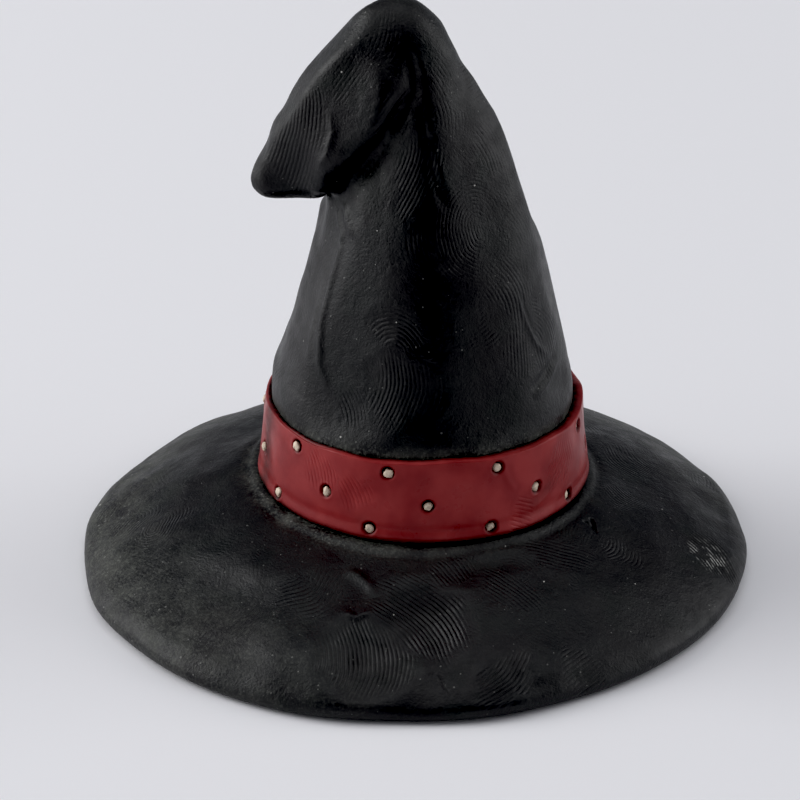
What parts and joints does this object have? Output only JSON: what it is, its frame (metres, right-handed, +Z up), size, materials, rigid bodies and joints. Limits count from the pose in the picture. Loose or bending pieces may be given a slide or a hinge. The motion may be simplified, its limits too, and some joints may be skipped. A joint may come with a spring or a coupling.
{
  "type": "witch hat ornament",
  "caption": "Small hand-modelled witch hat ornament: round domed brim, pointed crown with the tip folded to one side, and a red band set with cream dots.",
  "frame": {"origin": "centre of the brim's flat underside, on the surface the hat stands on", "axes": "+Z up through the crown; the hat is seen from -Y, and the tip folds over towards -X"},
  "size_m": [0.0756, 0.0756, 0.0658],
  "materials": {
    "black_paint": "satin black paint over cast clay, pressed all over with fingerprints",
    "red_paint": "semi-gloss dark red paint with a dark wash in the creases",
    "cream_paint": "cream paint, hand dabbed"
  },
  "bodies": {
    "root": {"brim": "black_paint", "crown": "black_paint", "hatband": "red_paint", "dot_high_1": "cream_paint", "dot_high_2": "cream_paint", "dot_high_3": "cream_paint", "dot_high_4": "cream_paint", "dot_high_5": "cream_paint", "dot_high_6": "cream_paint", "dot_high_7": "cream_paint", "dot_high_8": "cream_paint", "dot_high_9": "cream_paint", "dot_middle_1": "cream_paint", "dot_middle_2": "cream_paint", "dot_middle_3": "cream_paint", "dot_middle_4": "cream_paint", "dot_middle_5": "cream_paint", "dot_middle_6": "cream_paint", "dot_middle_7": "cream_paint", "dot_middle_8": "cream_paint", "dot_middle_9": "cream_paint", "dot_low_1": "cream_paint", "dot_low_2": "cream_paint", "dot_low_3": "cream_paint", "dot_low_4": "cream_paint", "dot_low_5": "cream_paint", "dot_low_6": "cream_paint", "dot_low_7": "cream_paint", "dot_low_8": "cream_paint", "dot_low_9": "cream_paint"}
  },
  "joints": []
}
